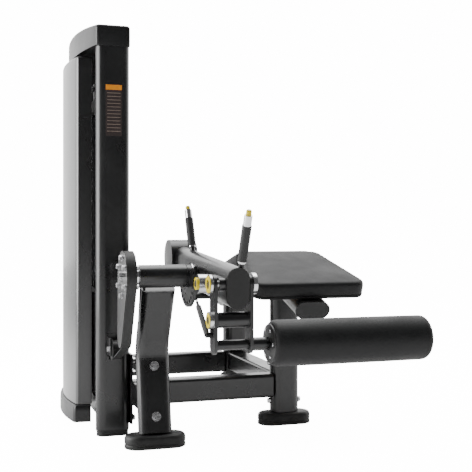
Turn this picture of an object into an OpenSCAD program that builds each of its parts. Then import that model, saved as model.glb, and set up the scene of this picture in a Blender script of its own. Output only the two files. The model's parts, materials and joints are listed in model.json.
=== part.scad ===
// Lying leg curl: selectorised weight tower, swinging lever and bench.
// +X runs from the tower to the roller, +Y from the feet to the head, +Z up.

/* [Tower] */
// Distance of the uprights' centre line from the middle, along X
tower_off = 381; // [370:1:390]
// Width of an upright, along X
upright_w = 120; // [110:1:124]
// Thickness of an upright, along Y
upright_t = 60; // [54:1:62]
// Height of the uprights' upper ends
upright_top = 1393; // [1385:1:1420]

/* [Weights] */
// Plates that stay down
rest_plates = 9; // [6:1:9]
// Plates that the selector pin lifts
lifted_count = 4; // [2:1:5]
// Thickness of one plate
plate_t = 25; // [20:1:25]

/* [Lever] */
// Height of the lever's axle
axle_z = 583; // [580:1:586]
// Diameter of the axle
axle_d = 38; // [34:1:40]
// Diameter of the ankle roller
roller_d = 140; // [120:1:145]
// Length of the ankle roller
roller_len = 525; // [480:5:525]

/* [Bench] */
// Distance of the bench's centre line from the middle, along X
bench_x = 277; // [272:1:282]
// Thickness of the pads
pad_t = 60; // [50:1:62]
// Slope of the hip pad
hip_tilt = 17.6; // [17:0.1:18]
// Slope of the chest pad
chest_tilt = 13; // [12:0.1:14]

/* [Hidden] */
$fn = 48;
e = 1;

tower_x = -tower_off;
near_y = -35;
far_y = 600;
tower_mid_y = (near_y + far_y) / 2;
wall = 3;
foot_h = 45;
upright_foot_h = 24;
near_face = near_y - upright_t / 2;
near_inner = near_y + upright_t / 2;
far_inner = far_y - upright_t / 2;

axle = [-325, axle_z];
arm_x = -127;
arm_w = 72;
arm_h = 124;
arm_near = [-725, 565];
arm_far = [-85, 612];
weight_c = [-30, 636];
weight_r = 64;
pivot = [-705, 577];
roller_c = [-705, 397];
roller_x = -22;
cross_z = 471;
fork_left_x = -200;
fork_right_x = -80;
fork_t = 10;
shaft_d = 30;
pin_d = 24;
run = 0.05;

plate_pitch = plate_t + 1;
plate_x = 96;
plate_y = 400;
rod_gap = 105;
rod_d = 25;
stem_d = 20;
base_top = 100;
stack_z = 130;
lifted_z = stack_z + rest_plates * plate_pitch;
top_plate_z = lifted_z + lifted_count * plate_pitch;
top_plate_t = 36;
stem_top = top_plate_z + top_plate_t + 56;
beam_z = 1195;
beam_h = 40;

pulley_r = 32;
flange_r = 38;
pulley_w = 34;
belt_w = 28;
belt_t = 3;
belt_r = pulley_r + 0.3 + belt_t / 2;
bolt_d = 12;
cheek_t = 5;
cheek_in = pulley_w / 2 + 2;
low_p = [near_face - 47, 318];
inner_p = [near_inner + 43, 318];
top_z = 1282;
top_a = [inner_p[0] + 2 * belt_r, top_z];
top_b = [tower_mid_y - belt_r, top_z];
cam_lobe = [-275, 385];
cam_r = 85;
lobe_r = 42;
cam_w = 34;

leg_x = -271;
leg_path = [[-248, foot_h], [-190, 330], [-297, 540]];
leg_bend_r = 150;
post_w = 110;
post_d = 64;
near_post_y = -32;
far_post_y = 590;
rail_h = 88;
rail_z = 149;

hip_edge = [-325, 548];
hip_len = 371;
peak = [29, 660];
chest_len = 786;
spine_w = 128;
spine_h = 62;
board_t = 12;
hip_half = [211, 161];
chest_half = [158, 158];

handle_lean = 24;
handle_bases = [[-205, 655, -handle_lean, 0, 105], [-715, 622, handle_lean, 13, 113]];
grip_z = 27;
sleeve_len = 33;
button_d = 17;
button_len = 34;
button_up = 16;

// ---- helpers ----
module oval(w, h) {
    d = min(w, h);
    square([max(w - d, 0.01), h - (w > h ? 0 : d)], center = true);
    if (w > h) {
        for (s = [-1, 1]) translate([s * (w - d) / 2, 0]) circle(d = d);
    } else {
        square([w, h - d], center = true);
        for (s = [-1, 1]) translate([0, s * (h - d) / 2]) circle(d = d);
    }
}
module rounded(w, h, r) {
    square([w - 2 * r, h], center = true);
    square([w, h - 2 * r], center = true);
    for (sx = [-1, 1], sy = [-1, 1]) translate([sx * (w / 2 - r), sy * (h / 2 - r)]) circle(r = r);
}
// A profile drawn in Y and Z, extruded from x0 to x1
module yz(x0, x1) {
    translate([x0, 0, 0]) rotate([90, 0, 90]) linear_extrude(x1 - x0) children();
}
// A profile drawn in X and Z, extruded from y0 to y1
module xz(y0, y1) {
    translate([0, y1, 0]) rotate([90, 0, 0]) linear_extrude(y1 - y0) children();
}
// A profile drawn in X and the normal, extruded from point a to point b of the YZ plane
module beam(a, b, x) {
    v = b - a;
    translate([x, a[0], a[1]]) rotate([atan2(v[1], v[0]), 0, 0]) xz(0, norm(v)) children();
}
// A round bar along X
module bar_x(x0, x1, c, d) {
    translate([x0, c[0], c[1]]) rotate([0, 90, 0]) cylinder(d = d, h = x1 - x0);
}
// A round bar between two points
module rod(p, q, d) {
    v = q - p;
    translate(p) rotate([0, acos(v[2] / norm(v)), atan2(v[1], v[0])]) cylinder(d = d, h = norm(v));
}
// A hexagon-head bolt with its washer, its head growing from p along v
module hex_bolt(p, v, af = 17) {
    u = v / norm(v);
    rod(p, p + u * 2, af * 1.45);
    translate(p + u * 2) rotate([0, acos(u[2]), atan2(u[1], u[0])]) cylinder(d = af * 1.15, h = 8, $fn = 6);
}
function dir(a) = [cos(a), sin(a)];
function angle(v) = atan2(v[1], v[0]);
// The angle of the right-hand normal of a belt that runs from wheel a to wheel b.
// A wheel is [centre, signed radius]: positive where the wheel is on the belt's left.
function normal_angle(a, b) = angle(b[0] - a[0]) - acos((a[1] - b[1]) / norm(b[0] - a[0]));
function arc_step(t0, t1, i, n) = t0 + (t1 - t0) * i / n;

// ---- tower ----
module upright(y) {
    translate([tower_x, y, upright_foot_h]) linear_extrude(upright_top - upright_foot_h) difference() {
        oval(upright_w, upright_t);
        oval(upright_w - 2 * wall, upright_t - 2 * wall);
    }
}
module upright_near() {
    color("#1b1b1c") difference() {
        upright(near_y);
        translate([tower_x - 18, near_face - e, low_p[1] - belt_r - 8]) cube([36, upright_t + 2 * e, 16]);
    }
}
module upright_far() {
    color("#1b1b1c") upright(far_y);
}
module oval_foot(x, y, w, d, h) {
    translate([x, y, 0]) {
        linear_extrude(h - 8) oval(w, d);
        translate([0, 0, h - 8]) linear_extrude(8) oval(w - 8, d - 8);
    }
}
module rubber_feet() {
    color("#101010") {
        for (y = [near_y, far_y]) translate([tower_x, y, 0]) linear_extrude(upright_foot_h) oval(upright_w - 6, upright_t - 6);
        oval_foot(leg_x, leg_path[0][0], 210, 100, foot_h);
        for (y = [near_post_y, far_post_y]) oval_foot(bench_x, y, 205, 100, foot_h);
    }
}
module tower_top_beam() {
    color("#1b1b1c") translate([tower_x, 0, beam_z + beam_h / 2]) difference() {
        xz(near_inner, far_inner) difference() {
            square([60, beam_h], center = true);
            square([60 - 2 * wall, beam_h - 2 * wall], center = true);
        }
        for (y = [inner_p[0] + belt_r, tower_mid_y]) translate([-18, y - 6, -beam_h]) cube([36, 12, 2 * beam_h]);
        for (s = [-1, 1]) translate([0, tower_mid_y + s * rod_gap, -beam_h]) cylinder(d = rod_d, h = beam_h);
    }
}
module tower_base_beam() {
    color("#1b1b1c") translate([tower_x, 0, base_top - 30]) xz(near_inner, far_inner) difference() {
        square([60, 60], center = true);
        square([60 - 2 * wall, 60 - 2 * wall], center = true);
    }
}
// The front edge of a cover in plan, bowed out by a parabola between its two corners
function bowed(back, corner, middle, y0, y1, y2, y3, n = 24) = concat(
    [[back, y0]],
    [for (i = [0:n]) [corner - (corner - middle) * (1 - pow(2 * i / n - 1, 2)), y1 + (y2 - y1) * i / n]],
    [[back, y3]]
);
module bowed_shell(back, corner, middle, y0, y1, t) {
    y3 = 2 * tower_mid_y - y0;
    y2 = 2 * tower_mid_y - y1;
    difference() {
        polygon(bowed(back, corner, middle, y0, y1, y2, y3));
        polygon(bowed(back + 2 * t, corner + t, middle + t, y0 + 1.4 * t, y1 + t * 0.8, y2 - t * 0.8, y3 - 1.4 * t));
    }
}
module top_cap() {
    arch_r = 3354;
    color("#161616") intersection() {
        translate([0, 0, upright_top]) difference() {
            linear_extrude(110) polygon(bowed(tower_x + 60, tower_x - 61, -489, -66, -66, 631, 631));
            translate([0, 0, -e]) linear_extrude(64) polygon(bowed(tower_x + 56, tower_x - 56, -484, -61, -61, 626, 626));
        }
        translate([0, tower_mid_y, 1484 - arch_r]) rotate([0, 90, 0]) translate([0, 0, -600]) cylinder(r = arch_r, h = 1200, $fn = 1440);
    }
}
module front_shroud() {
    color("#222222") translate([0, 0, 93]) linear_extrude(1375 - 93) bowed_shell(-438, -492, -515, 80, 84, 4);
}
module shroud_base_cover() {
    color("#161616") translate([0, 0, 27]) linear_extrude(64) bowed_shell(-442, -503, -525, 74, 78, 24);
}
module rear_shroud() {
    color("#1b1b1c") for (y = [near_inner + 4, far_inner - 204]) translate([-328, y, 102]) cube([4, 200, 1270]);
}
module guide_rods() {
    color("silver") for (s = [-1, 1]) translate([tower_x, tower_mid_y + s * rod_gap, base_top]) cylinder(d = rod_d, h = beam_z + beam_h / 2 - base_top);
}
module stack_bumpers() {
    color("#101010") for (s = [-1, 1]) translate([tower_x, tower_mid_y + s * rod_gap, base_top]) difference() {
        cylinder(d = 56, h = stack_z - base_top);
        translate([0, 0, -e]) cylinder(d = rod_d, h = 50);
    }
}
module plate(z, t) {
    translate([tower_x, tower_mid_y, z]) difference() {
        linear_extrude(t) rounded(plate_x, plate_y, 12);
        for (s = [-1, 1]) translate([0, s * rod_gap, -e]) cylinder(d = rod_d + 2, h = t + 2 * e);
        translate([0, 0, -e]) cylinder(d = stem_d + 3, h = t + 2 * e);
        translate([0, 0, t / 2]) rotate([0, 90, 0]) cylinder(d = 11, h = plate_x);
    }
}
module weight_plates() {
    color("#2a2a2a") for (i = [0:rest_plates - 1]) plate(stack_z + i * plate_pitch, plate_t);
}

// ---- belt and pulleys ----
module cheeks(y0, z0, y1, z1, c) {
    for (s = [-1, 1]) difference() {
        translate([tower_x + s * (cheek_in + cheek_t / 2) - cheek_t / 2, y0, z0]) cube([cheek_t, y1 - y0, z1 - z0]);
        bar_x(tower_x - 60, tower_x + 60, c, bolt_d);
    }
}
module pulley_brackets() {
    slot = [36, 20, 16];
    color("#1b1b1c") {
        cheeks(low_p[0] - 20, low_p[1] - 22, near_face - 5, low_p[1] + 40, low_p);
        difference() {
            translate([tower_x - 27, near_face - 5, low_p[1] - 50]) cube([54, 5, 100]);
            translate([tower_x - 18, near_face - 10, low_p[1] - belt_r - 8]) cube(slot);
        }
        cheeks(near_inner, inner_p[1] - 20, inner_p[0] + 20, inner_p[1] + 20, inner_p);
        for (p = [top_a, top_b]) cheeks(p[0] - 20, beam_z + beam_h, p[0] + 20, p[1] + 20, p);
    }
}
module pulley_axles() {
    reach = cheek_in + cheek_t;
    color("silver") for (p = [low_p, inner_p, top_a, top_b]) {
        bar_x(tower_x - reach, tower_x + reach, p, bolt_d);
        for (s = [-1, 1]) bar_x(tower_x + s * (reach + 4) - 4, tower_x + s * (reach + 4) + 4, p, 20, $fn = 6);
    }
}
module pulley(c) {
    color("#303030") difference() {
        union() {
            bar_x(tower_x - pulley_w / 2, tower_x + pulley_w / 2, c, 2 * pulley_r);
            for (s = [-1, 1]) bar_x(tower_x + s * (pulley_w / 2 - 0.75) - 0.75, tower_x + s * (pulley_w / 2 - 0.75) + 0.75, c, 2 * flange_r);
        }
        bar_x(tower_x - 30, tower_x + 30, c, bolt_d + 2 * run);
    }
}
module low_pulley() { pulley(low_p); }
module inner_pulley() { pulley(inner_p); }
module top_pulley_near() { pulley(top_a); }
module top_pulley_mid() { pulley(top_b); }

belt_gap = belt_r - pulley_r;
belt_wheels = [
    [axle, cam_r + belt_gap], [cam_lobe, lobe_r + belt_gap], [low_p, belt_r],
    [inner_p, belt_r], [top_a, -belt_r], [top_b, -belt_r]
];
belt_last = len(belt_wheels) - 1;
function belt_in(i) = i == 0 ? 105 : normal_angle(belt_wheels[i - 1], belt_wheels[i]) + (i < 4 ? 360 : 0);
function belt_out(i) = i == belt_last ? -180 : normal_angle(belt_wheels[i], belt_wheels[i + 1]) + (i < 4 ? 360 : 0);
function belt_edge(off) = [
    for (i = [0:belt_last], k = [0:24])
        belt_wheels[i][0] + (belt_wheels[i][1] + off) * dir(arc_step(belt_in(i), belt_out(i), k, 24))
];
function reversed(p) = [for (i = [len(p) - 1:-1:0]) p[i]];
module belt_run() {
    color("#0c0c0c") yz(tower_x - belt_w / 2, tower_x + belt_w / 2)
        polygon(concat(belt_edge(belt_t / 2), reversed(belt_edge(-belt_t / 2))));
}
module stack_belt() {
    color("#0c0c0c") translate([tower_x - belt_w / 2, tower_mid_y - belt_t / 2, stem_top]) cube([belt_w, belt_t, top_b[1] - stem_top]);
}

// ---- moving stack ----
module top_plate() {
    color("#2a2a2a") translate([tower_x, tower_mid_y, top_plate_z]) difference() {
        linear_extrude(top_plate_t) rounded(plate_x, plate_y, 12);
        for (s = [-1, 1]) translate([0, s * rod_gap, -e]) cylinder(d = rod_d + 2, h = 60);
        translate([0, 0, -e]) cylinder(d = stem_d, h = 60);
    }
}
module lifted_plates() {
    color("#2a2a2a") for (i = [0:lifted_count - 1]) plate(lifted_z + i * plate_pitch, plate_t);
}
module stack_stem() {
    color("silver") translate([tower_x, tower_mid_y, 0]) difference() {
        union() {
            translate([0, 0, stack_z + 8]) cylinder(d = stem_d, h = stem_top - stack_z - 30);
            translate([0, 0, top_plate_z + top_plate_t]) cylinder(d = 40, h = 56);
        }
        for (i = [0:rest_plates + lifted_count - 1])
            translate([-30, 0, stack_z + i * plate_pitch + plate_t / 2]) rotate([0, 90, 0]) cylinder(d = 11, h = 60);
    }
}
module selector_pin() {
    pin_z = lifted_z + plate_t / 2;
    color("gold") {
        bar_x(tower_x - 9, -300, [tower_mid_y, pin_z], 10);
        bar_x(-300, -268, [tower_mid_y, pin_z], 34);
    }
}

// ---- base frame ----
// A flat-oval tube through three points of the YZ plane, with a round bend at the middle one
module bent_oval(p, x, w, t, r) {
    a1 = angle(p[1] - p[0]);
    a2 = angle(p[2] - p[1]);
    cut = r * tan((a2 - a1) / 2);
    b1 = p[1] - cut * dir(a1);
    b2 = p[1] + cut * dir(a2);
    centre = b1 + r * dir(a1 + 90);
    beam(p[0], b1, x) oval(w, t);
    beam(b2, p[2], x) oval(w, t);
    translate([x, centre[0], centre[1]]) rotate([90, 0, 90]) rotate([0, 0, a1 - 90])
        rotate_extrude(angle = a2 - a1, $fn = 96) translate([r, 0]) oval(t, w);
}
module front_leg() {
    gusset = [[-280, 470], [-208, 420], [-242, 545], [-302, 545]];
    color("#1b1b1c") difference() {
        union() {
            bent_oval(leg_path, leg_x, 115, 60, leg_bend_r);
            yz(leg_x - 52, leg_x - 44) polygon(gusset);
            translate([leg_x, 0, rail_z]) xz(-215, near_y - 35) rounded(90, 80, 8);
        }
        bar_x(leg_x - 80, leg_x + 80, axle, 76);
        translate([leg_x - 80, -350, -20]) cube([160, 300, foot_h + 20]);
    }
}
module rail(y) {
    translate([0, y, rail_z]) yz(tower_x + upright_w / 2 + 8.1, bench_x - post_w / 2) difference() {
        rounded(70, rail_h, 12);
        rounded(70 - 2 * wall, rail_h - 2 * wall, 9);
    }
    translate([tower_x + upright_w / 2, y - 32, 40]) cube([8, 64, 250]);
}
module near_rail() { color("#1b1b1c") rail(near_y); }
module far_rail() { color("#1b1b1c") rail(far_y); }
module cross_beam() {
    color("#1b1b1c") translate([bench_x, 0, 153]) xz(near_post_y + post_d / 2, far_post_y - post_d / 2) difference() {
        rounded(84, 80, 10);
        rounded(84 - 2 * wall, 80 - 2 * wall, 7);
    }
}
module hip_place() {
    translate([bench_x, hip_edge[0], hip_edge[1]]) rotate([hip_tilt, 0, 0]) children();
}
module chest_place() {
    translate([bench_x, peak[0], peak[1]]) rotate([-chest_tilt, 0, 0]) children();
}
spine_c = -pad_t - spine_h / 2;
module post(y, top) {
    translate([bench_x, y, foot_h]) linear_extrude(top - foot_h) oval(post_w, post_d);
}
module near_post() {
    color("#1b1b1c") difference() {
        post(near_post_y, 545);
        hip_place() translate([0, 0, spine_c]) xz(-50, 420) oval(spine_w, spine_h);
    }
}
module far_post() {
    color("#1b1b1c") difference() {
        post(far_post_y, 430);
        chest_place() translate([0, 0, spine_c]) xz(-50, 760) oval(spine_w, spine_h);
    }
}
module spine(y0, y1) {
    translate([0, 0, spine_c]) xz(y0, y1) difference() {
        oval(spine_w, spine_h);
        oval(spine_w - 2 * wall, spine_h - 2 * wall);
    }
}
module bench_spine() {
    color("#1b1b1c") difference() {
        hip_place() spine(-22, 420);
        translate([0, peak[0], 300]) cube([600, 200, 500]);
    }
}
module spine_end_cap() {
    color("#101010") hip_place() translate([0, 0, spine_c]) xz(-28, -22) oval(spine_w, spine_h);
}
module chest_spine() {
    color("#1b1b1c") {
        difference() {
            chest_place() spine(-60, 680);
            translate([0, peak[0] - 200, 300]) cube([600, 200, 500]);
        }
        chest_place() for (s = [-1, 1]) translate([s * (spine_w / 2 - 4), 560, spine_c]) {
            rod([0, 0, 0], [s * 142, 0, 0], 28);
            rod([s * 136, 0, -20], [s * 136, 0, 130], 25);
        }
    }
}
module hand_grips() {
    color("#101010") chest_place() for (s = [-1, 1]) translate([s * (spine_w / 2 + 132), 560, spine_c + 20]) difference() {
        cylinder(d = 34, h = 118);
        translate([0, 0, -e]) cylinder(d = 25, h = 111);
    }
}
// Plan of a pad with round corners, inset by cut all round
module pad_plan(half, len, r, cut = 0) {
    hull() {
        for (s = [-1, 1]) {
            translate([s * (half[0] - r), r]) circle(r = r - cut, $fn = 32);
            translate([s * (half[1] - r), len - r]) circle(r = r - cut, $fn = 32);
        }
    }
}
module hip_board_solid() {
    hip_place() translate([0, 0, -pad_t]) linear_extrude(board_t) pad_plan(hip_half, hip_len - 20, 40, 22);
}
module chest_board_solid() {
    chest_place() translate([0, 20, -pad_t]) linear_extrude(board_t) pad_plan(chest_half, chest_len - 20, 40, 22);
}
module hip_pad_board() { color("#5a4630") hip_board_solid(); }
module chest_pad_board() { color("#5a4630") chest_board_solid(); }
module hip_pad() {
    color("#2d2d2e") difference() {
        hip_place() translate([0, 0, -pad_t]) linear_extrude(pad_t) pad_plan(hip_half, hip_len + 40, 42);
        hip_board_solid();
        translate([0, peak[0] - 1, 300]) cube([600, 200, 500]);
    }
}
module chest_pad() {
    color("#2d2d2e") difference() {
        chest_place() translate([0, -40, -pad_t]) linear_extrude(pad_t) pad_plan(chest_half, chest_len + 40, 42);
        chest_board_solid();
        translate([0, peak[0] - 199, 300]) cube([600, 200, 500]);
    }
}
module frame_bolts() {
    leg_dir = dir(angle(leg_path[1] - leg_path[0]));
    leg_out = [leg_dir[1], -leg_dir[0]] * -1;
    color("silver") {
        for (s = [55, 225]) {
            p = leg_path[0] + s * leg_dir + 30 * leg_out;
            rod([leg_x, p[0], p[1]], [leg_x, p[0] + 4 * leg_out[0], p[1] + 4 * leg_out[1]], 32);
            rod([leg_x, p[0] + 4 * leg_out[0], p[1] + 4 * leg_out[1]], [leg_x, p[0] + 12 * leg_out[0], p[1] + 12 * leg_out[1]], 21);
        }
        for (y = [near_y, far_y], dy = [-18, 18], z = [62, 222, 268]) hex_bolt([tower_x + upright_w / 2 + 8, y + dy, z], [1, 0, 0]);
        for (y = [near_post_y, far_post_y], s = [-1, 1], z = [88, 233]) hex_bolt([bench_x + s * post_w / 2, y, z], [s, 0, 0]);
    }
}
module axle_housing() {
    color("#1b1b1c") difference() {
        bar_x(-345, -186, axle, 76);
        bar_x(-346, -185, axle, 60);
    }
}
module housing_bearings() {
    color("silver") for (x = [-345, -206]) difference() {
        bar_x(x, x + 20, axle, 60);
        bar_x(x - e, x + 21, axle, axle_d + 2 * run);
    }
}

// ---- lever ----
function arm_point(y) = [y, arm_near[1] + (y - arm_near[0]) * (arm_far[1] - arm_near[1]) / (arm_far[0] - arm_near[0])];
module handle_place(i) {
    b = handle_bases[i];
    translate([arm_x + b[3], b[0], b[1]]) rotate([b[2], 0, 0]) children();
}
module lever_arm() {
    color("#1b1b1c") difference() {
        union() {
            beam(arm_near, arm_point(-60), arm_x) difference() {
                oval(arm_w, arm_h);
                oval(arm_w - 8, arm_h - 8);
            }
            bar_x(-163, -91, axle, 60);
            bar_x(-182, -94, pivot, 38);
            for (i = [0, 1]) handle_place(i) translate([0, 0, -12]) cylinder(d = 18, h = 12 + grip_z + handle_bases[i][4]);
        }
        bar_x(-200, -60, axle, axle_d);
        bar_x(-200, -60, pivot, pin_d + 2 * run);
        bar_x(-220, -40, weight_c, 2 * weight_r);
    }
}
module arm_end_cap() {
    v = arm_near - arm_far;
    u = v / norm(v);
    color("#0c0c0c") beam(arm_near + 6.1 * u, arm_near + 0.1 * u, arm_x) oval(arm_w - 1, arm_h - 1);
}
module axle_shaft() {
    color("silver") {
        bar_x(-410, -84, axle, axle_d);
        bar_x(-168, -163.2, axle, 84);
        bar_x(-362, -345.5, axle, 56);
    }
}
module cam() {
    wheels = [[axle, cam_r], [cam_lobe, lobe_r]];
    a0 = normal_angle(wheels[0], wheels[1]);
    a1 = normal_angle(wheels[1], wheels[0]);
    outline = concat(
        [for (i = [0:36]) axle + cam_r * dir(arc_step(a1, a0 + 360, i, 36))],
        [for (i = [0:24]) cam_lobe + lobe_r * dir(arc_step(a0, a1, i, 24))]
    );
    color("#161616") difference() {
        yz(tower_x - cam_w / 2, tower_x + cam_w / 2) polygon(outline);
        bar_x(tower_x - 30, tower_x + 30, axle, axle_d);
    }
}
module cam_bolts() {
    color("silver") for (i = [0:5]) {
        c = axle + 62 * dir(60 * i + 30);
        hex_bolt([tower_x - cam_w / 2, c[0], c[1]], [-1, 0, 0], 15);
        hex_bolt([tower_x + cam_w / 2, c[0], c[1]], [1, 0, 0], 15);
    }
}
module rom_disc() {
    rim = 105;
    sector = concat([axle], [for (i = [0:24]) axle + rim * dir(arc_step(160, 350, i, 24))]);
    color("#1b1b1c") difference() {
        union() {
            yz(-180, -170) polygon(sector);
            bar_x(-184, -168, axle, 76);
        }
        bar_x(-200, -160, axle, axle_d);
        for (i = [0:11]) bar_x(-190, -160, axle + 90 * dir(172 + 15 * i), 12);
    }
}
module counterweight() {
    color("#1b1b1c") bar_x(arm_x - 48, arm_x + 48, weight_c, 2 * weight_r);
}
module handle_grips() {
    color("#101010") for (i = [0, 1]) handle_place(i) translate([0, 0, grip_z]) difference() {
        cylinder(d = 29, h = handle_bases[i][4]);
        translate([0, 0, -e]) cylinder(d = 18, h = handle_bases[i][4] + 2 * e);
    }
}
module handle_sleeves() {
    color("silver") for (i = [0, 1]) handle_place(i) {
        translate([0, 0, grip_z - 6]) difference() {
            cylinder(d = 26, h = 6);
            translate([0, 0, -e]) cylinder(d = 18, h = 8);
        }
        translate([0, 0, grip_z + handle_bases[i][4]]) difference() {
            cylinder(d = 25, h = sleeve_len);
            translate([0, 0, 4]) cylinder(d = button_d + 2 * run, h = sleeve_len);
        }
    }
}
module button(i) {
    color("gold") handle_place(i) translate([0, 0, grip_z + handle_bases[i][4] + sleeve_len + button_up - button_len]) {
        cylinder(d = button_d, h = button_len - 3);
        translate([0, 0, button_len - 3]) cylinder(d1 = button_d, d2 = button_d - 4, h = 3, $fn = 48);
    }
}
module far_button() { button(0); }
module near_button() { button(1); }
rom_c = [-545, 570];
module rom_pin_housing() {
    color("silver") difference() {
        bar_x(-202, arm_x - arm_w / 2, rom_c, 58);
        bar_x(-203, -176, rom_c, 40);
        bar_x(-177, -150, rom_c, 16 + 2 * run);
    }
}
module rom_pin() {
    color("gold") {
        bar_x(-208, -188, rom_c, 38);
        bar_x(-188, -164, rom_c, 16);
    }
}

// ---- ankle fork and roller ----
module fork() {
    outer = [-705, 577];
    color("#1b1b1c") difference() {
        union() {
            for (x = [fork_left_x, fork_right_x - fork_t]) {
                yz(x, x + fork_t) {
                    translate([outer[0], (outer[1] + roller_c[1]) / 2]) square([54, outer[1] - roller_c[1]], center = true);
                    translate(outer) circle(r = 27);
                    translate(roller_c) circle(r = 27);
                }
            }
            bar_x(fork_left_x + fork_t, fork_right_x - fork_t, [-705, cross_z], 47);
            bar_x(fork_right_x, roller_x - 14, roller_c, 40);
            bar_x(fork_left_x, roller_x + roller_len - 10, roller_c, shaft_d);
        }
        bar_x(-220, -60, pivot, pin_d);
    }
}
module fork_pin() {
    color("silver") {
        bar_x(fork_left_x - 4, fork_right_x, pivot, pin_d);
        bar_x(fork_right_x, fork_right_x + 12, pivot, 66);
    }
}
module ring_cap(x0, x1, c, d) {
    difference() {
        bar_x(x0, x1, c, d);
        bar_x(x0 - e, x0 + 5, c, d * 0.45);
    }
}
module fork_ring_caps() {
    color("gold") {
        ring_cap(-211, fork_left_x - 4, pivot, 58);
        ring_cap(-212, fork_left_x, [-705, cross_z], 52);
    }
}
module adjust_rod() {
    foot = [-214, -700, 428];
    tip = [-214, -585, 517];
    u = (tip - foot) / norm(tip - foot);
    color("#101010") {
        rod([fork_left_x, foot[1], foot[2]], [foot[0] - 4, foot[1], foot[2]], 16);
        rod(foot, tip - 22 * u, 17);
        rod(tip - 22 * u, tip, 9);
    }
}
module roller_pad() {
    color("#2d2d2e") difference() {
        union() {
            bar_x(roller_x + 8, roller_x + roller_len - 12, roller_c, roller_d);
            bar_x(roller_x, roller_x + roller_len, roller_c, roller_d - 16);
        }
        bar_x(roller_x - e, roller_x + roller_len + e, roller_c, 60);
    }
}
module roller_hubs() {
    color("#101010") for (x = [roller_x, roller_x + roller_len - 32]) difference() {
        bar_x(x, x + 32, roller_c, 60);
        bar_x(x - e, x + (x > 0 ? 24 : 33), roller_c, shaft_d + 2 * run);
    }
}

upright_near();
upright_far();
rubber_feet();
tower_top_beam();
tower_base_beam();
top_cap();
front_shroud();
shroud_base_cover();
rear_shroud();
guide_rods();
stack_bumpers();
weight_plates();
pulley_brackets();
pulley_axles();
belt_run();
axle_housing();
housing_bearings();
front_leg();
near_rail();
far_rail();
cross_beam();
near_post();
far_post();
bench_spine();
spine_end_cap();
chest_spine();
hip_pad_board();
chest_pad_board();
hip_pad();
chest_pad();
frame_bolts();
hand_grips();
lever_arm();
arm_end_cap();
axle_shaft();
cam();
cam_bolts();
rom_disc();
counterweight();
handle_grips();
handle_sleeves();
far_button();
near_button();
rom_pin_housing();
rom_pin();
fork();
fork_pin();
fork_ring_caps();
adjust_rod();
roller_pad();
roller_hubs();
top_plate();
lifted_plates();
stack_stem();
stack_belt();
selector_pin();
low_pulley();
inner_pulley();
top_pulley_near();
top_pulley_mid();
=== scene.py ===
"""Looks of the lying leg curl: materials for the CAD frame, soft pieces, trim, camera and light."""
import json
import math

import bmesh
import bpy
from mathutils import Matrix, Vector


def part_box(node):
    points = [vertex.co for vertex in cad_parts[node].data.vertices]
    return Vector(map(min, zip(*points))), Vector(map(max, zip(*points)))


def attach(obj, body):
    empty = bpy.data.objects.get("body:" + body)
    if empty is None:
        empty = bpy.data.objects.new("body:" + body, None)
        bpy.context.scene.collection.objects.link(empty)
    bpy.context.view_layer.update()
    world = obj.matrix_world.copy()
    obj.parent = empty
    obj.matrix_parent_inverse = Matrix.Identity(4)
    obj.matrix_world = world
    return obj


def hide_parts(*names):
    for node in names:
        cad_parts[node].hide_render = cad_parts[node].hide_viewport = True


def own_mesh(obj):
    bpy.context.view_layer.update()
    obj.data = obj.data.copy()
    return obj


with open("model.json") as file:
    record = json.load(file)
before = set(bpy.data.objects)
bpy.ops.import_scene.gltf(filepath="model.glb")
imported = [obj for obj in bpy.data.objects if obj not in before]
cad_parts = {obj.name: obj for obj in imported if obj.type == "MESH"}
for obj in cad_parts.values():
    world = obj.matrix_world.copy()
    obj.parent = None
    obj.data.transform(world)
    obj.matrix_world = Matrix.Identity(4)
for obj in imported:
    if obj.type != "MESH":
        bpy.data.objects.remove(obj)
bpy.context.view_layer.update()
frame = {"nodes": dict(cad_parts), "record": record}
NODES = frame["nodes"]
MM = 0.001

# ---------------------------------------------------------------- camera
CAMERA_PLACE = (-0.921, -3.225, 0.743)
CAMERA_TURN = -17.5
CAMERA_LENS = 68.0
CAMERA_SHIFT_Y = -0.017
SENSOR_WIDTH = 36.0


def add_camera():
    data = bpy.data.cameras.new("camera")
    data.lens = CAMERA_LENS
    data.sensor_width = SENSOR_WIDTH
    data.shift_y = CAMERA_SHIFT_Y
    cam = bpy.data.objects.new("camera", data)
    cam.location = CAMERA_PLACE
    cam.rotation_euler = (math.radians(90), 0, math.radians(CAMERA_TURN))
    bpy.context.collection.objects.link(cam)
    bpy.context.scene.camera = cam


add_camera()


# ---------------------------------------------------------------- materials
def new_material(name, color, rough, metallic=0.0, specular=0.5, coat=0.0, coat_rough=0.1):
    """A principled material, its even values on the shader's own sockets."""
    mat = bpy.data.materials.new(name)
    mat.use_nodes = True
    shader = mat.node_tree.nodes["Principled BSDF"]
    shader.inputs["Base Color"].default_value = (*color, 1)
    shader.inputs["Roughness"].default_value = rough
    shader.inputs["Metallic"].default_value = metallic
    shader.inputs["Specular IOR Level"].default_value = specular
    shader.inputs["Coat Weight"].default_value = coat
    shader.inputs["Coat Roughness"].default_value = coat_rough
    return mat


def texture(mat, kind, scale, **values):
    """A 3-D texture in object coordinates, which here are the frame's own metres."""
    tree = mat.node_tree
    coords = tree.nodes.get("coords") or tree.nodes.new("ShaderNodeTexCoord")
    coords.name = "coords"
    node = tree.nodes.new(kind)
    node.inputs["Scale"].default_value = scale
    for key, value in values.items():
        node.inputs[key.replace("_", " ")].default_value = value
    tree.links.new(coords.outputs["Object"], node.inputs["Vector"])
    return node


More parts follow.
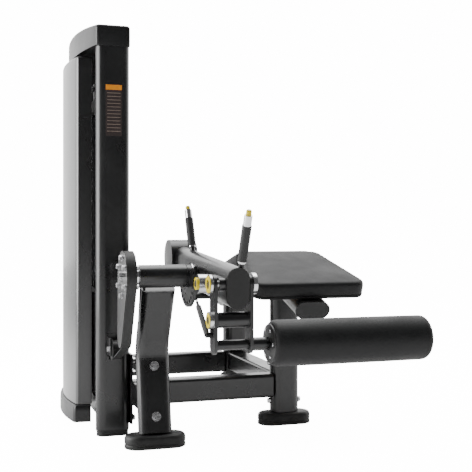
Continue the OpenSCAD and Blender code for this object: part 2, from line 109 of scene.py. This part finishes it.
def add_bump(mat, source, strength, depth):
    """Lays a bump over any that is there already."""
    tree = mat.node_tree
    shader = tree.nodes["Principled BSDF"]
    bump = tree.nodes.new("ShaderNodeBump")
    bump.inputs["Strength"].default_value = strength
    bump.inputs["Distance"].default_value = depth
    tree.links.new(source, bump.inputs["Height"])
    normal = shader.inputs["Normal"]
    if normal.links:
        tree.links.new(normal.links[0].from_socket, bump.inputs["Normal"])
    tree.links.new(bump.outputs["Normal"], normal)


NOISE_LOW = 0.3
NOISE_HIGH = 0.7


def vary(mat, socket, source, low, high):
    """Spreads a texture's middle range over low to high on one socket of the shader."""
    tree = mat.node_tree
    target = tree.nodes["Principled BSDF"].inputs[socket]
    if socket == "Base Color":
        ramp = tree.nodes.new("ShaderNodeValToRGB")
        ramp.color_ramp.elements[0].position = NOISE_LOW
        ramp.color_ramp.elements[1].position = NOISE_HIGH
        ramp.color_ramp.elements[0].color = (*low, 1)
        ramp.color_ramp.elements[1].color = (*high, 1)
        tree.links.new(source, ramp.inputs["Fac"])
        tree.links.new(ramp.outputs["Color"], target)
        return
    spread = tree.nodes.new("ShaderNodeMapRange")
    spread.inputs["From Min"].default_value = NOISE_LOW
    spread.inputs["From Max"].default_value = NOISE_HIGH
    spread.inputs["To Min"].default_value = low
    spread.inputs["To Max"].default_value = high
    tree.links.new(source, spread.inputs["Value"])
    tree.links.new(spread.outputs["Result"], target)


def powder_coat():
    mat = new_material("powder_coat", (0.008, 0.008, 0.0085), 0.3, specular=0.5, coat=0.3, coat_rough=0.1)
    cloud = texture(mat, "ShaderNodeTexNoise", 9.0, Detail=3.0)
    peel = texture(mat, "ShaderNodeTexNoise", 320.0, Detail=1.0)
    vary(mat, "Roughness", cloud.outputs["Fac"], 0.26, 0.36)
    vary(mat, "Base Color", cloud.outputs["Fac"], (0.007, 0.007, 0.0075), (0.010, 0.010, 0.0105))
    add_bump(mat, peel.outputs["Fac"], 0.03, 0.0002)
    return mat


def moulded(name, color, rough, grain=1400.0, strength=0.2):
    mat = new_material(name, color, rough)
    cloud = texture(mat, "ShaderNodeTexNoise", 14.0, Detail=3.0)
    fine = texture(mat, "ShaderNodeTexNoise", grain, Detail=2.0)
    vary(mat, "Roughness", cloud.outputs["Fac"], rough * 0.88, rough * 1.14)
    add_bump(mat, fine.outputs["Fac"], strength, 0.0002)
    return mat


def shroud_gloss():
    mat = new_material("shroud_gloss", (0.008, 0.008, 0.0085), 0.3, specular=0.6, coat=0.7, coat_rough=0.15)
    cloud = texture(mat, "ShaderNodeTexNoise", 5.0, Detail=2.0)
    vary(mat, "Roughness", cloud.outputs["Fac"], 0.26, 0.33)
    return mat


def vinyl():
    mat = new_material("vinyl", (0.009, 0.009, 0.0095), 0.44, specular=0.28)
    grain = texture(mat, "ShaderNodeTexVoronoi", 900.0, Randomness=1.0)
    pores = texture(mat, "ShaderNodeTexNoise", 500.0, Detail=4.0)
    cloud = texture(mat, "ShaderNodeTexNoise", 12.0, Detail=3.0)
    vary(mat, "Roughness", cloud.outputs["Fac"], 0.46, 0.56)
    vary(mat, "Base Color", cloud.outputs["Fac"], (0.008, 0.008, 0.0085), (0.011, 0.011, 0.0115))
    add_bump(mat, grain.outputs["Distance"], 0.35, 0.0003)
    add_bump(mat, pores.outputs["Fac"], 0.15, 0.0002)
    return mat


def metal(name, color, rough, scratches=0.05):
    mat = new_material(name, color, rough, metallic=1.0)
    haze = texture(mat, "ShaderNodeTexNoise", 60.0, Detail=4.0)
    vary(mat, "Roughness", haze.outputs["Fac"], rough * 0.8, rough * 1.3)
    fine = texture(mat, "ShaderNodeTexNoise", 700.0, Detail=2.0)
    add_bump(mat, fine.outputs["Fac"], scratches, 0.0001)
    return mat


def cast_plate():
    mat = new_material("cast_plate", (0.035, 0.035, 0.036), 0.5)
    grit = texture(mat, "ShaderNodeTexNoise", 420.0, Detail=5.0)
    add_bump(mat, grit.outputs["Fac"], 0.5, 0.0004)
    vary(mat, "Roughness", grit.outputs["Fac"], 0.42, 0.6)
    return mat


def plywood():
    mat = new_material("plywood", (0.32, 0.2, 0.1), 0.7)
    rings = texture(mat, "ShaderNodeTexWave", 30.0, Distortion=6.0, Detail=3.0)
    vary(mat, "Base Color", rings.outputs["Fac"], (0.26, 0.16, 0.08), (0.38, 0.25, 0.13))
    add_bump(mat, rings.outputs["Fac"], 0.2, 0.0003)
    return mat


def ribbed_belt():
    mat = new_material("ribbed_belt", (0.012, 0.012, 0.012), 0.55)
    weave = texture(mat, "ShaderNodeTexNoise", 800.0, Detail=3.0)
    add_bump(mat, weave.outputs["Fac"], 0.4, 0.0003)
    vary(mat, "Roughness", weave.outputs["Fac"], 0.48, 0.62)
    return mat


MATERIALS = {
    "frame_paint": powder_coat(),
    "cap_plastic": moulded("cap_plastic", (0.009, 0.009, 0.0095), 0.32),
    "shroud": shroud_gloss(),
    "rubber": moulded("rubber", (0.007, 0.007, 0.007), 0.55, 700.0, 0.4),
    "plate_iron": cast_plate(),
    "chrome": metal("chrome", (0.78, 0.78, 0.79), 0.12),
    "bolt_steel": metal("bolt_steel", (0.62, 0.62, 0.63), 0.28, 0.15),
    "vinyl": vinyl(),
    "board": plywood(),
    "belt": ribbed_belt(),
    "yellow_plastic": moulded("yellow_plastic", (0.6, 0.46, 0.004), 0.35),
    "ring_steel": metal("ring_steel", (0.72, 0.72, 0.72), 0.2, 0.1),
    "pulley_nylon": moulded("pulley_nylon", (0.012, 0.012, 0.012), 0.42),
    "label_dark": moulded("label_dark", (0.03, 0.02, 0.018), 0.4),
    "label_orange": moulded("label_orange", (0.8, 0.27, 0.005), 0.4),
    "label_pale": moulded("label_pale", (0.22, 0.17, 0.14), 0.45),
}


def dress_cad():
    """Gives every CAD node the material of its slot."""
    slots = {row["node"]: row["material_slot"] for row in frame["record"]["subparts"]}
    for name, obj in NODES.items():
        mat = MATERIALS[slots[name]]
        obj.data.materials.clear()
        obj.data.materials.append(mat)


dress_cad()


# ---------------------------------------------------------------- mesh helpers
def finish_piece(obj, body, slot, replaced=(), bevel=0.0, subdiv=0):
    """Links, smooths, dresses and mounts a new piece."""
    bpy.context.collection.objects.link(obj)
    obj.data.materials.append(MATERIALS[slot])
    for face in obj.data.polygons:
        face.use_smooth = True
    if bevel:
        mod = obj.modifiers.new("bevel", "BEVEL")
        mod.width = bevel
        mod.segments = 3
        mod.limit_method = "ANGLE"
        mod.harden_normals = True
    if subdiv:
        mod = obj.modifiers.new("subdiv", "SUBSURF")
        mod.levels = subdiv
        mod.render_levels = subdiv
    if replaced:
        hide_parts(*replaced)
    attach(obj, body)
    return obj


def mesh_object(name, verts, faces, matrix=Matrix.Identity(4)):
    mesh = bpy.data.meshes.new(name)
    mesh.from_pydata([matrix @ Vector(v) for v in verts], [], faces)
    bm = bmesh.new()
    bm.from_mesh(mesh)
    bmesh.ops.remove_doubles(bm, verts=bm.verts, dist=1e-6)
    bmesh.ops.recalc_face_normals(bm, faces=bm.faces)
    bm.to_mesh(mesh)
    bm.free()
    return bpy.data.objects.new(name, mesh)


def loft(name, rings, matrix=Matrix.Identity(4), wrap=False):
    """Skins rings of equal length, closed round each ring, with flat ends unless it wraps."""
    count = len(rings[0])
    verts = [v for ring in rings for v in ring]
    faces = []
    last = len(rings) if wrap else len(rings) - 1
    for i in range(last):
        a = i * count
        b = ((i + 1) % len(rings)) * count
        for k in range(count):
            n = (k + 1) % count
            faces.append((a + k, a + n, b + n, b + k))
    if not wrap:
        faces.append(tuple(range(count)))
        faces.append(tuple(range((len(rings) - 1) * count, len(rings) * count)))
    return mesh_object(name, verts, faces, matrix)


def lathe(name, profile, matrix, sides=64, wrap=False):
    """Turns (radius, height) points round the local Z axis."""
    turns = [2 * math.pi * k / sides for k in range(sides)]
    rings = [[(r * math.cos(t), r * math.sin(t), z) for t in turns] for r, z in profile]
    return loft(name, rings, matrix, wrap)


def arc(cx, cz, r, start, end, steps=6):
    """Points of an arc of a profile, angles in degrees."""
    angles = [math.radians(start + (end - start) * i / steps) for i in range(steps + 1)]
    return [(cx + r * math.cos(t), cz + r * math.sin(t)) for t in angles]


def middle(node):
    low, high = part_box(node)
    return [(a + b) / 2 for a, b in zip(low, high)]


ALONG_X = Matrix.Rotation(math.radians(90), 4, "Y")


# ---------------------------------------------------------------- pads
HIP_TILT = math.radians(17.6)
CHEST_TILT = math.radians(-13.0)
PAD_THICK = 60 * MM
PAD_CORNER = 42 * MM
PAD_CROWN = 5 * MM
# (inset, height) up a pad's side from its underside to its top edge, in millimetres
PAD_SIDE = [
    (5, -60), (1.6, -58.8), (0.6, -55), (2.6, -50.5), (2.8, -49.5), (1, -45), (0.2, -36), (0, -27),
    (0.3, -18), (1.1, -12), (3.0, -7.4), (6.2, -3.8), (10.8, -1.3), (17, 0),
]
UNDERSIDE_INSET = PAD_SIDE[0][0] * MM
TOP_INSET = PAD_SIDE[-1][0] * MM
WELT_INSET = 1.4 * MM
WELT_HEIGHT = -50 * MM
WELT_RADIUS = 1.6 * MM
RIDGE_FLARE = 4 * MM  # how much wider than the chest pad the hip pad is where they meet, each side
RIDGE_REACH = 8 * MM  # how far the hip pad reaches on towards the ridge


def pad_outline(near, far, length, corner, per_corner=10, per_side=12):
    """Plan of a pad with round corners, counter-clockwise, with each point's outward direction."""
    corners = [
        (-near + corner, corner, 180), (near - corner, corner, 270),
        (far - corner, length - corner, 0), (-far + corner, length - corner, 90),
    ]
    points = []
    for i, (cx, cy, start) in enumerate(corners):
        for k in range(per_corner + 1):
            t = math.radians(start + 90 * k / per_corner)
            points.append((cx + corner * math.cos(t), cy + corner * math.sin(t), math.cos(t), math.sin(t)))
        nx, ny, turn = corners[(i + 1) % 4]
        a = points[-1]
        t = math.radians(turn)
        b = (nx + corner * math.cos(t), ny + corner * math.sin(t), math.cos(t), math.sin(t))
        for k in range(1, per_side):
            f = k / per_side
            points.append(tuple(a[j] + (b[j] - a[j]) * f for j in range(4)))
    return points


def pad(name, node, near, far, length, matrix):
    """A firm upholstered pad: pulled-in lower seam, full sides, rolled top edge and a low crown."""
    outline = pad_outline(near, far, length, PAD_CORNER)
    rings = []
    centre_y = length / 2

    def shrunk(inset, share, z):
        return [((x - inset * u) * share, centre_y + (y - inset * v - centre_y) * share, z)
                for x, y, u, v in outline]

    for share in (0.03, 0.5, 0.85):
        rings.append(shrunk(UNDERSIDE_INSET, share, -PAD_THICK))
    for inset, z in PAD_SIDE:
        rings.append([(x - inset * MM * u, y - inset * MM * v, z * MM) for x, y, u, v in outline])
    for share in (0.93, 0.82, 0.66, 0.46, 0.24, 0.02):
        rings.append(shrunk(TOP_INSET, share, PAD_CROWN * (1 - share * share)))
    obj = loft(name, rings, matrix)
    finish_piece(obj, "frame", "vinyl", (node,), subdiv=1)
    return outline


def welt(name, outline, matrix):
    """A stitched welt that runs round a pad's side."""
    rings = []
    for x, y, u, v in outline:
        cx = x - WELT_INSET * u
        cy = y - WELT_INSET * v
        ring = []
        for k in range(8):
            t = 2 * math.pi * k / 8
            out = WELT_RADIUS * math.cos(t)
            ring.append((cx + out * u, cy + out * v, WELT_HEIGHT + WELT_RADIUS * math.sin(t)))
        rings.append(ring)
    obj = loft(name, rings, matrix, wrap=True)
    finish_piece(obj, "frame", "vinyl")


def make_pads():
    """The hip and chest cushions, one on each side of the ridge, and the welt of each."""
    low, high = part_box("hip_pad")
    mid_x = (low[0] + high[0]) / 2
    half = (high[0] - low[0]) / 2
    chest_low, chest_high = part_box("chest_pad")
    chest_half = (chest_high[0] - chest_low[0]) / 2
    peak_y = high[1]
    length = (peak_y - low[1]) / math.cos(HIP_TILT)
    near_z = high[2] - (peak_y - low[1]) * math.tan(HIP_TILT)
    # both pads stop short of the ridge, where their lower edges lean towards each other
    hip_len = length - PAD_THICK * math.tan(HIP_TILT) + RIDGE_REACH
    place = Matrix.Translation((mid_x, low[1], near_z)) @ Matrix.Rotation(HIP_TILT, 4, "X")
    outline = pad("hip_cushion", "hip_pad", half, chest_half + RIDGE_FLARE, hip_len, place)
    welt("hip_welt", outline, place)
    start = PAD_THICK * math.tan(-CHEST_TILT)
    chest_len = (chest_high[1] - peak_y) / math.cos(CHEST_TILT) - start
    place = (Matrix.Translation((mid_x, peak_y, high[2])) @ Matrix.Rotation(CHEST_TILT, 4, "X")
             @ Matrix.Translation((0, start, 0)))
    outline = pad("chest_cushion", "chest_pad", chest_half, chest_half, chest_len, place)
    welt("chest_welt", outline, place)


def make_roller():
    """The ankle roller: foam under vinyl, with rolled ends that tuck in to the hubs."""
    low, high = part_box("roller_pad")
    radius = (high[2] - low[2]) / 2
    length = high[0] - low[0]
    bore = 30 * MM
    roll = 22 * MM
    profile = [(bore, 4 * MM), (bore + 6 * MM, 1 * MM), (radius - roll, 0.5 * MM)]
    profile += arc(radius - roll, roll, roll, -80, 0, 8)
    profile += [(radius + 0.6 * MM, length * f) for f in (0.25, 0.5, 0.75)]
    profile += arc(radius - roll, length - roll, roll, 0, 80, 8)
    profile += [(radius - roll, length - 0.5 * MM), (bore + 6 * MM, length - 1 * MM), (bore, length - 4 * MM)]
    place = Matrix.Translation((low[0], *middle("roller_pad")[1:])) @ ALONG_X
    obj = lathe("roller_cushion", profile, place, 72, wrap=True)
    finish_piece(obj, "roller", "vinyl", ("roller_pad",))
    shaft_hole = 20.5 * MM
    half_thick = 4 * MM
    cap = [(shaft_hole, -half_thick), (50 * MM, -half_thick), (58 * MM, -1 * MM), (59 * MM, half_thick),
           (shaft_hole, half_thick)]
    obj = lathe("roller_end_disc", cap, place, 48, wrap=True)
    finish_piece(obj, "roller", "pulley_nylon", bevel=0.8 * MM)
    screw_circle = 44 * MM
    for k in range(6):
        t = math.radians(30 + 60 * k)
        centre = (screw_circle * math.cos(t), screw_circle * math.sin(t), -half_thick)
        spot = place @ Matrix.Translation(centre)
        head = [(0.2 * MM, -3.4 * MM), (3 * MM, -3.2 * MM), (4.6 * MM, -1.8 * MM), (5 * MM, 0.5 * MM)]
        finish_piece(lathe(f"roller_screw_{k}", head, spot, 20), "roller", "bolt_steel")


RING_STAND_OUT = 1.6 * MM
RING_DEPTH = 3.4 * MM
CENTRE_SET_IN = 4 * MM
COLLAR_RADIUS = 26 * MM


def yellow_ring(name, centre, inner, outer, left):
    """A flat ring on the fork, round an axis along X, that stands out from the collar's left face."""
    profile = [(inner, 0), (outer, 0), (outer, RING_DEPTH), (inner, RING_DEPTH)]
    place = Matrix.Translation((left - RING_STAND_OUT, centre[1], centre[2])) @ ALONG_X
    finish_piece(lathe(name, profile, place, 48, wrap=True), "fork", "yellow_plastic", bevel=0.6 * MM)


def dark_centre(name, centre, radius, start, depth, body):
    """A low domed rubber disc on an axis along X, its dome towards -X."""
    profile = [(0.1 * MM, -depth), (radius * 0.6, -depth * 0.95), (radius * 0.88, -depth * 0.7),
               (radius, -depth * 0.1), (radius, depth * 0.6)]
    place = Matrix.Translation((start, centre[1], centre[2])) @ ALONG_X
    finish_piece(lathe(name, profile, place, 40), body, "rubber")


def make_rings():
    """The yellow rings set in the steel collars at the pivots, each with a dark centre."""
    pivot = middle("fork_pin")
    left, _, collars_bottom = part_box("fork_ring_caps")[0]
    yellow_ring("pivot_ring", pivot, 14 * MM, 25.5 * MM, left)
    dark_centre("pivot_centre", pivot, 12 * MM, left + CENTRE_SET_IN, 3 * MM, "fork")
    tube = (left, pivot[1], collars_bottom + COLLAR_RADIUS)
    yellow_ring("cross_ring", tube, 12.5 * MM, 22.5 * MM, left)
    dark_centre("cross_centre", tube, 11 * MM, left + CENTRE_SET_IN, 3 * MM, "fork")
    pin_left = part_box("rom_pin")[0][0]
    dark_centre("rom_pin_centre", middle("rom_pin"), 12 * MM, pin_left, 2 * MM, "rom_pin")


WELD_BEAD = 2.2 * MM
WELD_RIPPLE = 0.5 * MM


def weld_x(name, centre, radius, at):
    """A rippled weld bead on the fork, round a tube along X."""
    rings = []
    count = 96
    for k in range(count):
        t = 2 * math.pi * k / count
        wave = WELD_RIPPLE * math.sin(26 * t)
        bead = WELD_BEAD + wave * 0.4
        ring = []
        for j in range(8):
            a = 2 * math.pi * j / 8
            r = radius + bead * math.cos(a)
            ring.append((r * math.cos(t), r * math.sin(t), bead * math.sin(a) + wave * 0.3))
        rings.append(ring)
    place = Matrix.Translation((at, centre[1], centre[2])) @ ALONG_X
    finish_piece(loft(name, rings, place, wrap=True), "fork", "frame_paint")


def make_welds():
    """The beads where the cross tube and the roller shaft's boss meet the fork's plates."""
    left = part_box("fork")[0][0]
    tube = (0, middle("fork_pin")[1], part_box("fork_ring_caps")[0][2] + COLLAR_RADIUS)
    plate = 10 * MM
    right_plate = 110 * MM
    toe = 1 * MM
    for i, x in enumerate((left + plate + toe, left + right_plate - toe)):
        weld_x(f"cross_tube_weld_{i}", tube, 23.5 * MM, x)
    weld_x("roller_boss_weld", middle("roller_pad"), 20 * MM, left + right_plate + plate + toe)


def oval_points(width, depth, count=64):
    """A flat oval in plan, its long side along X."""
    r = depth / 2
    straight = (width - depth) / 2
    points = []
    for k in range(count):
        t = 2 * math.pi * (k + 0.5) / count
        points.append((math.copysign(straight, math.cos(t)) + r * math.cos(t), r * math.sin(t)))
    return points


# the leg that each foot is under and the foot's width, in millimetres
FEET = {"front": ("front_leg", 210), "near": ("near_post", 205), "far": ("far_post", 205)}
FOOT_DEPTH = 100
# (inset, height) up a foot's side, in millimetres; its heights are then fitted to the CAD foot's
FOOT_SIDE = [
    (2.5, 0), (0.6, 1.2), (0, 3), (0, 11), (1.2, 13), (1.6, 15), (1.2, 17), (0, 19), (0, 33), (1, 37),
    (3.4, 41), (7, 44), (11, 45),
]
FOOT_SIDE_HEIGHT = FOOT_SIDE[-1][1] * MM
SHOE_SIDE = [(5, 0), (3, 1.5), (3, 17), (1, 19), (0.2, 21), (0.2, 24)]
FRONT_FOOT_LIMIT = -0.12  # the front foot is the part of the CAD feet before this Y


def make_feet():
    """Moulded rubber feet with a lip, a waist and a round shoulder, and plain shoes under the uprights."""
    pieces = []
    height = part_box("near_post")[0][2]
    for name, (leg, width) in FEET.items():
        low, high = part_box(leg)
        x = (low[0] + high[0]) / 2
        y = (low[1] + high[1]) / 2
        if leg == "front_leg":
            y = frame_foot_y()
        rings = []
        for inset, z in FOOT_SIDE:
            outline = oval_points((width - 2 * inset) * MM, (FOOT_DEPTH - 2 * inset) * MM)
            rings.append([(x + px, y + py, z * MM * height / FOOT_SIDE_HEIGHT) for px, py in outline])
        pieces.append(loft(f"foot_{name}", rings))
    for name in ("upright_near", "upright_far"):
        low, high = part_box(name)
        x = (low[0] + high[0]) / 2
        y = (low[1] + high[1]) / 2
        rings = []
        for inset, z in SHOE_SIDE:
            outline = oval_points(high[0] - low[0] - 2 * inset * MM, high[1] - low[1] - 2 * inset * MM)
            rings.append([(x + px, y + py, z * MM) for px, py in outline])
        pieces.append(loft(f"shoe_{name}", rings))
    for i, piece in enumerate(pieces):
        finish_piece(piece, "frame", "rubber", ("rubber_feet",) if i == 0 else (), bevel=0.5 * MM)


def frame_foot_y():
    """Where the front foot stands along Y: the middle of its part of the CAD mesh."""
    front = [v.co.y for v in NODES["rubber_feet"].data.vertices if v.co.y < FRONT_FOOT_LIMIT]
    return (min(front) + max(front)) / 2


# a flat strap's section with worn edges, as shares of its half sizes
STRAP_SECTION = [(-1, -0.7), (-0.96, -1), (0.96, -1), (1, -0.7), (1, 0.7), (0.96, 1), (-0.96, 1), (-1, 0.7)]


def make_stack_belt():
    """The belt down to the stack, a straight flat strap on a mesh of its own."""
    low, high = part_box("stack_belt")
    mid = middle("stack_belt")
    half_x = (high[0] - low[0]) / 2
    half_y = (high[1] - low[1]) / 2
    rings = []
    steps = 40
    for k in range(steps + 1):
        z = low[2] + (high[2] - low[2]) * k / steps
        rings.append([(mid[0] + sx * half_x, mid[1] + sy * half_y, z) for sx, sy in STRAP_SECTION])
    obj = loft("stack_belt_strap", rings)
    finish_piece(obj, "frame", "belt", ("stack_belt",))
    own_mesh(obj)


def plate_box(name, low, high, slot, bevel=0.4 * MM):
    rings = [[(low[0], low[1], z), (high[0], low[1], z), (high[0], high[1], z), (low[0], high[1], z)]
             for z in (low[2], high[2])]
    finish_piece(loft(name, rings), "frame", slot, bevel=bevel)


LABEL_DROP = 140 * MM
LABEL_HALF = 29 * MM
LABEL_HEIGHT = 182 * MM
BAR_HEIGHT = 18 * MM
RULES = 12
RULE_HALF = 24 * MM
RULE_HEIGHT = 2.2 * MM
RULE_PITCH = 12.4 * MM
RULE_DROP = 28 * MM


def make_label():
    """A blank plate with a plain coloured bar and pale rules, with no lettering."""
    low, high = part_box("upright_near")
    face = low[1]
    x = (low[0] + high[0]) / 2
    top = high[2] - LABEL_DROP
    plate_box("label_plate", (x - LABEL_HALF, face - 0.8 * MM, top - LABEL_HEIGHT),
              (x + LABEL_HALF, face + 0.2 * MM, top), "label_dark")
    plate_box("label_bar", (x - LABEL_HALF, face - 1.3 * MM, top - BAR_HEIGHT),
              (x + LABEL_HALF, face - 0.5 * MM, top), "label_orange")
    for k in range(RULES):
        z = top - RULE_DROP - RULE_PITCH * k
        plate_box(f"label_rule_{k}", (x - RULE_HALF, face - 1.1 * MM, z - RULE_HEIGHT),
                  (x + RULE_HALF, face - 0.5 * MM, z), "label_pale", bevel=0.1 * MM)


BOW_STEPS = 48
BOW_SOFT = 10 * MM
COVER_CORNER = 4 * MM


def bowed_points(back, corner, centre, y0, y1, y2, y3):
    """Plan of a cover: from its near back edge round its near corner, bowed front and far corner."""
    points = [(back, y0), (back * 0.5 + corner * 0.5, y0 * 0.5 + y1 * 0.5)]
    for k in range(BOW_STEPS + 1):
        f = k / BOW_STEPS
        y = y1 + (y2 - y1) * f
        x = corner - (corner - centre) * (1 - (2 * f - 1) ** 2)
        edge = min(y - y1, y2 - y) / BOW_SOFT
        x += BOW_SOFT * 0.45 * max(0.0, 1 - edge) ** 2
        points.append((x, y))
    points += [(back * 0.5 + corner * 0.5, y3 * 0.5 + y2 * 0.5), (back, y3)]
    return points


def offset_path(points, distance):
    """Moves an open path sideways, to the right of its run."""
    moved = []
    for i, (x, y) in enumerate(points):
        ax, ay = points[max(0, i - 1)]
        bx, by = points[min(len(points) - 1, i + 1)]
        length = math.hypot(bx - ax, by - ay)
        moved.append((x + distance * (by - ay) / length, y - distance * (bx - ax) / length))
    return moved


def cover(name, node, levels, thick, slot, bow):
    """A bowed shell: levels are (inset, height) pairs from bottom to top, in millimetres."""
    low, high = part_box(node)
    y_mid = (low[1] + high[1]) / 2
    y0 = low[1]
    y1 = low[1] + COVER_CORNER
    outer = bowed_points(high[0], low[0] + bow, low[0], y0, y1, 2 * y_mid - y1, 2 * y_mid - y0)
    inner = offset_path(outer, thick)
    rings = []
    for inset, z in levels:
        section = offset_path(outer, inset * MM) + inner[::-1]
        rings.append([(x, y, low[2] + z * MM) for x, y in section])
    finish_piece(loft(name, rings), "frame", slot, (node,), bevel=0.8 * MM)


def make_tower_skins():
    """The tower's bowed front shroud and the cover round its base."""
    low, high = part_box("front_shroud")
    tall = (high[2] - low[2]) / MM
    levels = [(0, 0), (0, 60), (0, tall - 40), (0, tall - 8), (1.2, tall - 2.5), (2.8, tall)]
    cover("front_shroud_skin", "front_shroud", levels, 4 * MM, "shroud", 23 * MM)
    levels = [(2, 0), (0, 3), (0, 40), (0.8, 54), (3.5, 61), (8, 64)]
    cover("base_cover_skin", "shroud_base_cover", levels, 23 * MM, "cap_plastic", 22 * MM)


def make_top_cap():
    """The arched cap, lofted along the tower with a soft edge all round."""
    low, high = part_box("top_cap")
    length = high[1] - low[1]
    bulge = 47 * MM
    rise = 17 * MM
    soft = 9
    steps = 28
    r = 12 * MM
    bottom = low[2]
    # (place along Y, inset) of each section, in millimetres
    end = [(0, soft), (0.8, 5.5), (2.5, 2.6), (5.5, 0.8), (soft, 0)]
    body = [(soft + (length / MM - 2 * soft) * k / steps, 0) for k in range(1, steps)]
    stations = end + body + [(length / MM - y, inset) for y, inset in reversed(end)]
    rings = []
    for y, inset in stations:
        f = 2 * (y * MM / length) - 1
        bow = 1 - f * f
        left = low[0] + bulge * (1 - bow) + inset * MM
        right = high[0] - inset * MM
        top = high[2] - rise * (1 - bow) - inset * MM
        ring = [(left + 1 * MM, bottom), (right - 1 * MM, bottom), (right, bottom + 1 * MM)]
        ring += arc(right - r, top - r, r, 0, 90, 6) + arc(left + r, top - r, r, 90, 180, 6)
        ring += [(left, bottom + 1 * MM)]
        rings.append([(x, low[1] + y * MM, z) for x, z in ring])
    finish_piece(loft("tower_cap", rings), "frame", "cap_plastic", ("top_cap",), bevel=0.6 * MM)


# ---------------------------------------------------------------- stage and light
FLOOR_HALF = 14.0
SEEN_WHITE = 14.0  # strength of the floor where the camera looks at it
BACKDROP_EXTRA = 1.2  # how much stronger the backdrop is there
STUDIO_DIM = 0.12
STUDIO_BRIGHT = 2.4


def add_floor():
    """A pale floor, white where the camera looks at it."""
    size = FLOOR_HALF
    floor = mesh_object("floor", [(-size, -size, 0), (size, -size, 0), (size, size, 0), (-size, size, 0)],
                        [(0, 1, 2, 3)])
    bpy.context.collection.objects.link(floor)
    paint = new_material("floor_paint", (0.93, 0.93, 0.93), 0.9)
    tree = paint.node_tree
    shader = tree.nodes["Principled BSDF"]
    shader.inputs["Emission Color"].default_value = (1, 1, 1, 1)
    path = tree.nodes.new("ShaderNodeLightPath")
    seen = tree.nodes.new("ShaderNodeMath")
    seen.operation = "MULTIPLY"
    seen.inputs[1].default_value = SEEN_WHITE
    tree.links.new(path.outputs["Is Camera Ray"], seen.inputs[0])
    tree.links.new(seen.outputs["Value"], shader.inputs["Emission Strength"])
    floor.data.materials.append(paint)


def add_studio():
    """A white studio whose light is dim on the side the photographer stands."""
    world = bpy.data.worlds.new("studio")
    bpy.context.scene.world = world
    world.use_nodes = True
    tree = world.node_tree
    back = tree.nodes["Background"]
    back.inputs["Color"].default_value = (1, 1, 1, 1)
    coords = tree.nodes.new("ShaderNodeTexCoord")
    split = tree.nodes.new("ShaderNodeSeparateXYZ")
    tree.links.new(coords.outputs["Generated"], split.inputs["Vector"])
    fall = tree.nodes.new("ShaderNodeMapRange")
    fall.interpolation_type = "SMOOTHSTEP"
    fall.inputs["From Min"].default_value = -0.45
    fall.inputs["From Max"].default_value = 0.35
    fall.inputs["To Min"].default_value = STUDIO_DIM
    fall.inputs["To Max"].default_value = STUDIO_BRIGHT
    tree.links.new(split.outputs["Y"], fall.inputs["Value"])
    path = tree.nodes.new("ShaderNodeLightPath")
    mix = tree.nodes.new("ShaderNodeMix")
    mix.inputs["B"].default_value = SEEN_WHITE + BACKDROP_EXTRA
    tree.links.new(path.outputs["Is Camera Ray"], mix.inputs["Factor"])
    tree.links.new(fall.outputs["Result"], mix.inputs["A"])
    tree.links.new(mix.outputs["Result"], back.inputs["Strength"])


def area_light(name, place, target, size, power):
    data = bpy.data.lights.new(name, "AREA")
    data.shape = "RECTANGLE"
    data.size, data.size_y = size
    data.energy = power
    light = bpy.data.objects.new(name, data)
    light.location = place
    light.rotation_euler = (Vector(target) - Vector(place)).to_track_quat("-Z", "Y").to_euler()
    bpy.context.collection.objects.link(light)


make_pads()
make_roller()
make_rings()
make_welds()
make_feet()
make_stack_belt()
make_label()
make_tower_skins()
make_top_cap()
add_floor()
add_studio()
area_light("left_softbox", (-3.4, 0.4, 1.4), (-0.3, 0.0, 0.6), (2.2, 2.6), 150)
area_light("top_softbox", (0.2, 0.6, 3.4), (0.1, 0.1, 0.4), (2.4, 2.4), 70)
